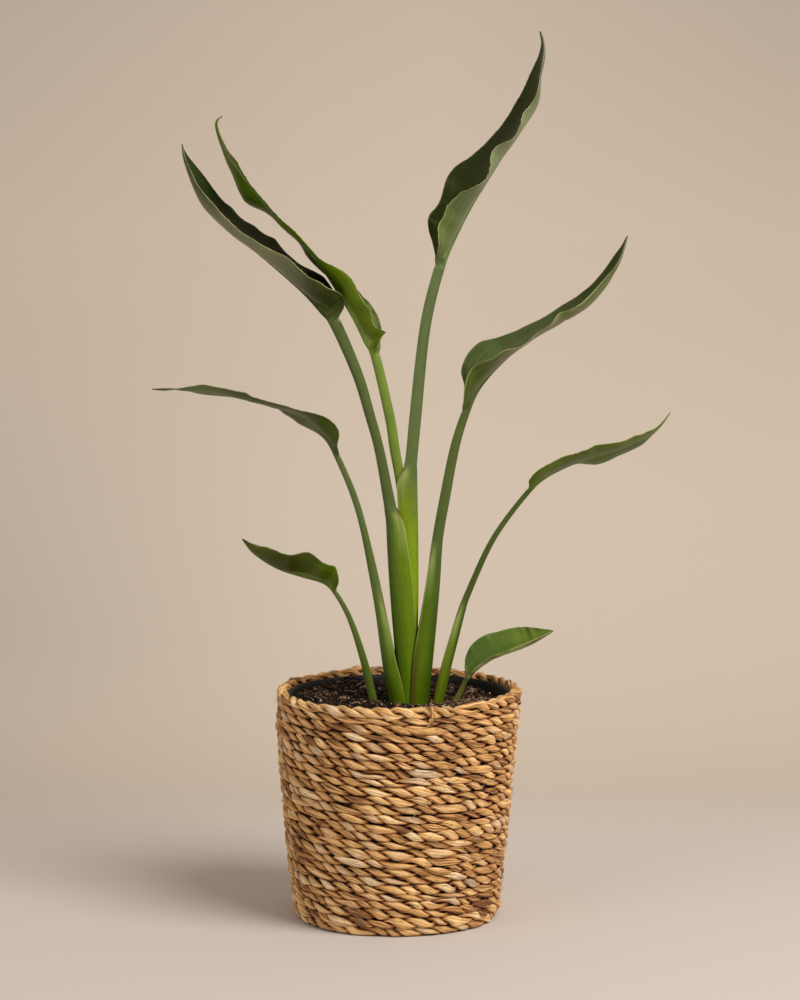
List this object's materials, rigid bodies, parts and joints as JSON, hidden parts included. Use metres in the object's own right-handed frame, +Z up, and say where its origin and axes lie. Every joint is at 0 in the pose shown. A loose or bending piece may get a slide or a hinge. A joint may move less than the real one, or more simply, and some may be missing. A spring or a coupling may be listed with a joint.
{
  "type": "potted bird of paradise plant",
  "caption": "Bird of paradise plant with long-stalked folded leaves in a fan, in a black nursery pot inside a basket coiled from twisted grass rope",
  "frame": {"origin": "centre of the flat underside of the basket, on the surface it stands on", "axes": "+Z up along the height of the plant; the fan of leaves opens along X; -Y is the front"},
  "size_m": [0.481, 0.2318, 0.82],
  "materials": {
    "grass_rope": "dry twisted grass fibre",
    "pot_plastic": "semi-matt moulded",
    "soil": "rough, damp, crumbly",
    "stalk": "smooth waxy plant skin",
    "stalk_young": "smooth waxy plant skin",
    "blade": "satin waxy leaf",
    "blade_young": "satin waxy leaf"
  },
  "bodies": {
    "root": {"rope_basket": "grass_rope", "nursery_pot": "pot_plastic", "potting_soil": "soil", "stalk_left_low": "stalk", "stalk_left_middle": "stalk", "stalk_left_high": "stalk", "stalk_youngest": "stalk_young", "stalk_top": "stalk", "stalk_right_high": "stalk", "stalk_right_middle": "stalk", "stalk_right_low": "stalk", "blade_left_low": "blade", "blade_left_middle": "blade", "blade_left_high": "blade", "blade_youngest": "blade_young", "blade_top": "blade", "blade_right_high": "blade", "blade_right_middle": "blade", "blade_right_low": "blade"}
  },
  "joints": []
}
